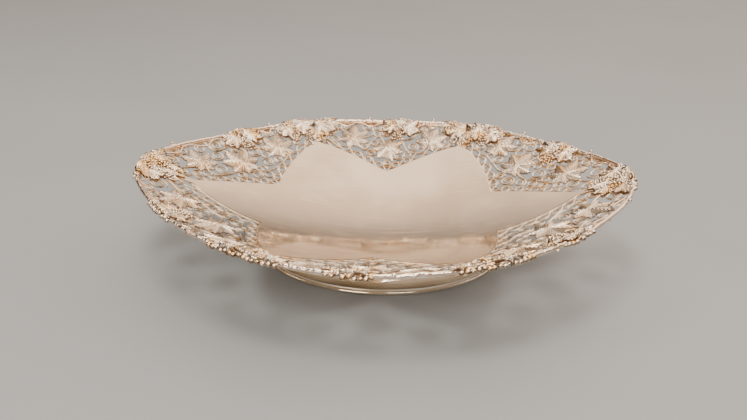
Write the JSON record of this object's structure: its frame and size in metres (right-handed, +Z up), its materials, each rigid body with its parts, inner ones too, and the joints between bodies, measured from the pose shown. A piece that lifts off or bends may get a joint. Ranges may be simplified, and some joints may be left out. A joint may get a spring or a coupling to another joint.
{
  "type": "footed oval dish",
  "caption": "Shallow oval offering plate on a low spreading foot, with pierced vine-leaf panels and a rim wire carrying cast bunches of grapes.",
  "frame": {"origin": "centre of the foot's resting face, on the surface that the dish stands on", "axes": "+Z up, +X along the dish's length, -Y towards the near long side"},
  "size_m": [0.3502, 0.2582, 0.0707],
  "materials": {
    "plain_silver": "soft polish with fine lengthways wear scratches",
    "pierced_silver": "pierced and chased, bright on the raised parts, toned in the recesses",
    "wire_silver": "bright rounded wire, warm toned",
    "cast_silver": "cast relief, bright on top with brown toning between the grapes",
    "foot_silver": "bright polish"
  },
  "bodies": {
    "root": {"dish_well": "plain_silver", "vine_panel_back": "pierced_silver", "vine_panel_front": "pierced_silver", "vine_panel_back_left": "pierced_silver", "vine_panel_back_right": "pierced_silver", "vine_panel_front_left": "pierced_silver", "vine_panel_front_right": "pierced_silver", "rim_wire_back_right_end": "wire_silver", "rim_wire_back_right_side": "wire_silver", "rim_wire_back_right_middle": "wire_silver", "rim_wire_back_left_end": "wire_silver", "rim_wire_back_left_side": "wire_silver", "rim_wire_back_left_middle": "wire_silver", "rim_wire_front_right_end": "wire_silver", "rim_wire_front_right_side": "wire_silver", "rim_wire_front_right_middle": "wire_silver", "rim_wire_front_left_end": "wire_silver", "rim_wire_front_left_side": "wire_silver", "rim_wire_front_left_middle": "wire_silver", "grapes_left_end": "cast_silver", "grapes_right_end": "cast_silver", "grapes_back_centre": "cast_silver", "grapes_front_centre": "cast_silver", "grapes_back_left_corner": "cast_silver", "grapes_back_right_corner": "cast_silver", "grapes_front_left_corner": "cast_silver", "grapes_front_right_corner": "cast_silver", "grapes_back_left_side": "cast_silver", "grapes_back_right_side": "cast_silver", "grapes_front_left_side": "cast_silver", "grapes_front_right_side": "cast_silver", "foot_ring": "foot_silver", "foot_band": "foot_silver"}
  },
  "joints": []
}
